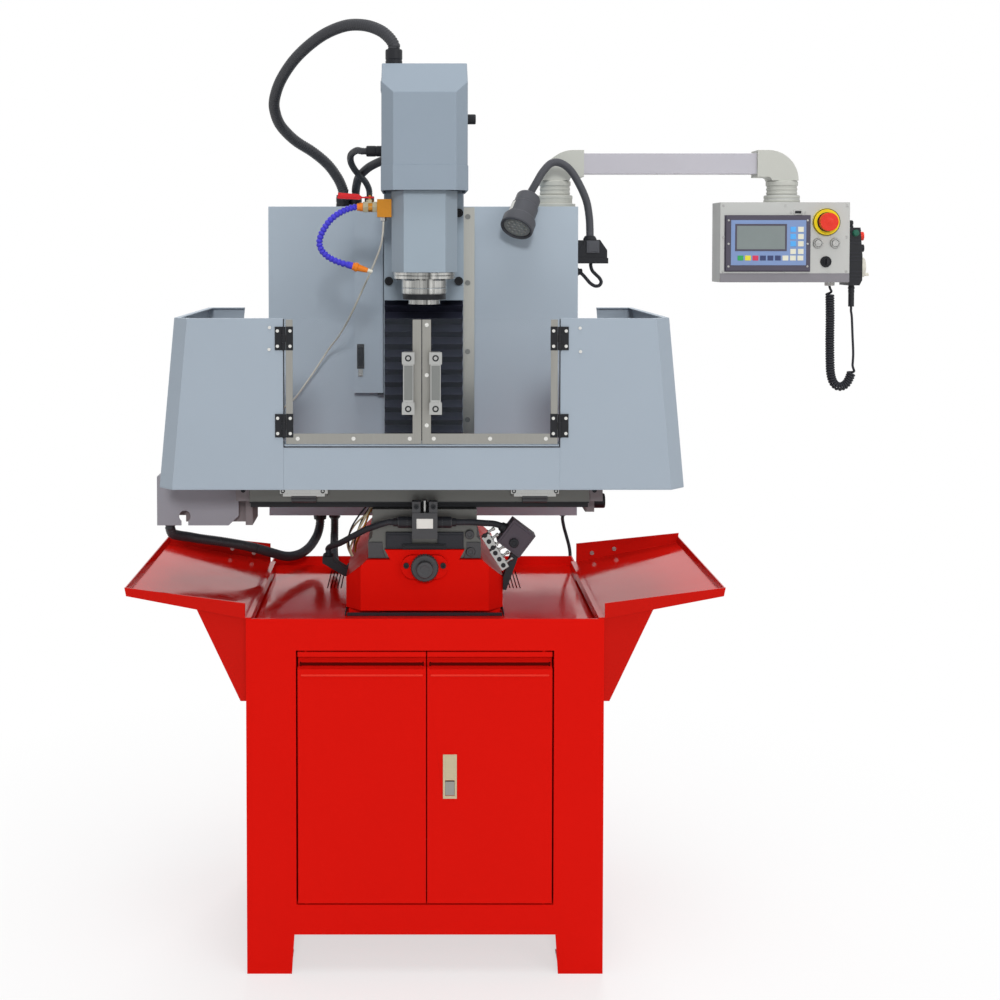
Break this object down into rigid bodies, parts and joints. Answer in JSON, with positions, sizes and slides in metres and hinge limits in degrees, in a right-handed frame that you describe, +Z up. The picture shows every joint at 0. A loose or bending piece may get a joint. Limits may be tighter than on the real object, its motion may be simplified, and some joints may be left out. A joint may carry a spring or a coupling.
{
  "type": "CNC machining centre",
  "caption": "Small CNC milling machine with a splash guard, an electrics box and an operator panel on an arm, on a red steel stand with chip trays.",
  "frame": {"origin": "middle of the four floor bolts, on the floor under the stand", "axes": "+X to the machine's right seen from the operator, +Y to the back, +Z up"},
  "size_m": [1.555, 0.745, 1.8065],
  "materials": {
    "red_paint": "gloss",
    "grey_paint": "satin",
    "cast_grey_paint": "satin",
    "machined_iron": "satin",
    "bright_steel": "satin",
    "stainless": "satin",
    "clear_pane": "gloss",
    "black_metal": "satin",
    "black_plastic": "matte",
    "black_rubber": "matte",
    "blue_plastic": "gloss",
    "pale_plastic": "satin",
    "red_plastic": "gloss",
    "brass": "satin"
  },
  "bodies": {
    "base": {"stand_shell": "red_paint", "stand_front": "red_paint", "stand_tray": "red_paint", "tray_left": "red_paint", "tray_right": "red_paint", "machine_base": "red_paint", "column": "grey_paint", "electrics_box": "grey_paint", "bellows": "black_rubber", "y_bearing": "red_paint", "axis_motors": "black_metal", "arm_base": "cast_grey_paint", "lamp_stem": "black_metal", "lamp_head": "black_metal", "box_fittings": "black_plastic", "spindle_conduit": "black_rubber", "head_leads": "black_rubber", "table_hose": "black_rubber", "coolant_tube": "pale_plastic", "saddle_leads": "black_rubber"},
    "cabinet_left": {"cabinet_door_left": "red_paint"},
    "cabinet_right": {"cabinet_door_right": "red_paint"},
    "lock": {"lock_paddle": "bright_steel"},
    "hatch": {"hatch": "grey_paint"},
    "hatch_latch": {"hatch_latch": "black_plastic"},
    "y_screw": {"y_screw": "bright_steel"},
    "z_screw": {"z_screw": "bright_steel"},
    "saddle": {"saddle": "machined_iron", "junction_block": "machined_iron"},
    "table": {"table": "machined_iron", "table_ends": "machined_iron", "x_motor_cover": "grey_paint", "guard_left": "grey_paint", "guard_right": "grey_paint", "guard_floor": "grey_paint", "guard_hinges": "black_metal"},
    "x_screw": {"x_screw": "bright_steel"},
    "left_door": {"left_pane": "clear_pane", "left_fittings": "stainless"},
    "right_door": {"right_pane": "clear_pane", "right_fittings": "stainless"},
    "head": {"head_casting": "grey_paint", "motor_cover": "grey_paint", "spindle_motor": "black_metal", "head_fittings": "brass", "coolant_hose": "blue_plastic"},
    "spindle": {"spindle": "bright_steel"},
    "valve_lever": {"valve_lever": "red_plastic"},
    "arm": {"arm": "cast_grey_paint"},
    "panel": {"panel_housing": "cast_grey_paint", "controller": "black_plastic", "pendant_body": "black_plastic", "pendant_cord": "black_rubber"},
    "stop_button": {"stop_button": "red_plastic"},
    "start_button": {"start_button": "bright_steel"},
    "reset_button": {"reset_button": "bright_steel"},
    "key": {"key_switch": "black_plastic"},
    "dial": {"pendant_dial": "pale_plastic"},
    "pendant_stop": {"pendant_stop": "red_plastic"},
    "pendant_knob": {"pendant_knob": "black_plastic"}
  },
  "joints": [
    {"name": "y_slide", "type": "slide", "parent": "base", "child": "saddle", "axis": [0, 1, 0], "range_m": [-0.12, 0.02], "deforming": ["saddle_leads"]},
    {"name": "x_slide", "type": "slide", "parent": "saddle", "child": "table", "axis": [1, 0, 0], "range_m": [-0.15, 0.15], "deforming": ["table_hose"]},
    {"name": "z_slide", "type": "slide", "parent": "base", "child": "head", "axis": [0, 0, 1], "range_m": [-0.25, 0], "deforming": ["bellows", "spindle_conduit", "head_leads", "coolant_tube"]},
    {"name": "y_screw_turn", "type": "hinge", "parent": "base", "child": "y_screw", "pos_m": [0, 0, 0.742], "axis": [0, 1, 0], "continuous": true},
    {"name": "x_screw_turn", "type": "hinge", "parent": "table", "child": "x_screw", "pos_m": [0, -0.055, 0.8463], "axis": [1, 0, 0], "continuous": true},
    {"name": "z_screw_turn", "type": "hinge", "parent": "base", "child": "z_screw", "pos_m": [0, 0.165, 1.2], "axis": [0, 0, 1], "continuous": true},
    {"name": "spindle_turn", "type": "hinge", "parent": "head", "child": "spindle", "pos_m": [0, -0.055, 1.3], "axis": [0, 0, 1], "continuous": true},
    {"name": "left_guard_door", "type": "hinge", "parent": "table", "child": "left_door", "pos_m": [-0.258, -0.2635, 1.1], "axis": [0, 0, -1], "range_deg": [0, 110]},
    {"name": "right_guard_door", "type": "hinge", "parent": "table", "child": "right_door", "pos_m": [0.246, -0.2635, 1.1], "axis": [0, 0, 1], "range_deg": [0, 110]},
    {"name": "left_cabinet_door", "type": "hinge", "parent": "base", "child": "cabinet_left", "pos_m": [-0.22, -0.253, 0.368], "axis": [0, 0, -1], "range_deg": [0, 110]},
    {"name": "right_cabinet_door", "type": "hinge", "parent": "base", "child": "cabinet_right", "pos_m": [0.22, -0.253, 0.368], "axis": [0, 0, 1], "range_deg": [0, 110]},
    {"name": "lock_lift", "type": "hinge", "parent": "cabinet_right", "child": "lock", "pos_m": [0.046, -0.257, 0.357], "axis": [-1, 0, 0], "range_deg": [0, 35]},
    {"name": "hatch_swing", "type": "hinge", "parent": "base", "child": "hatch", "pos_m": [-0.093, 0.24, 1.231], "axis": [0, 0, 1], "range_deg": [0, 70]},
    {"name": "hatch_latch_turn", "type": "hinge", "parent": "hatch", "child": "hatch_latch", "pos_m": [-0.137, 0.235, 1.11], "axis": [0, 1, 0], "range_deg": [0, 90]},
    {"name": "valve_turn", "type": "hinge", "parent": "head", "child": "valve_lever", "pos_m": [-0.106, -0.08, 1.4455], "axis": [0, 0, 1], "range_deg": [0, 90]},
    {"name": "arm_swing", "type": "hinge", "parent": "base", "child": "arm", "pos_m": [0.297, 0.34, 1.465], "axis": [0, 0, 1], "range_deg": [-20, 75]},
    {"name": "panel_swivel", "type": "hinge", "parent": "arm", "child": "panel", "pos_m": [0.808, 0.34, 1.465], "axis": [0, 0, 1], "range_deg": [-45, 45]},
    {"name": "stop_press", "type": "slide", "parent": "panel", "child": "stop_button", "axis": [0, 1, 0], "range_m": [0, 0.006], "stiffness_N_per_m": 900},
    {"name": "start_press", "type": "slide", "parent": "panel", "child": "start_button", "axis": [0, 1, 0], "range_m": [0, 0.003], "stiffness_N_per_m": 400},
    {"name": "reset_press", "type": "slide", "parent": "panel", "child": "reset_button", "axis": [0, 1, 0], "range_m": [0, 0.003], "stiffness_N_per_m": 400},
    {"name": "key_turn", "type": "hinge", "parent": "panel", "child": "key", "pos_m": [0.894, 0.29, 1.3163], "axis": [0, 1, 0], "range_deg": [0, 90]},
    {"name": "dial_turn", "type": "hinge", "parent": "panel", "child": "dial", "pos_m": [0.978, 0.33, 1.3033], "axis": [1, 0, 0], "continuous": true},
    {"name": "pendant_stop_press", "type": "slide", "parent": "panel", "child": "pendant_stop", "axis": [-1, 0, 0], "range_m": [0, 0.0035], "stiffness_N_per_m": 500},
    {"name": "pendant_knob_turn", "type": "hinge", "parent": "panel", "child": "pendant_knob", "pos_m": [0.978, 0.33, 1.3463], "axis": [1, 0, 0], "range_deg": [0, 150]}
  ],
  "couplings": [
    {"joint": "y_screw_turn", "follows": "y_slide", "rad_per_m": -1256.6},
    {"joint": "x_screw_turn", "follows": "x_slide", "rad_per_m": 1256.6},
    {"joint": "z_screw_turn", "follows": "z_slide", "rad_per_m": -1256.6}
  ]
}
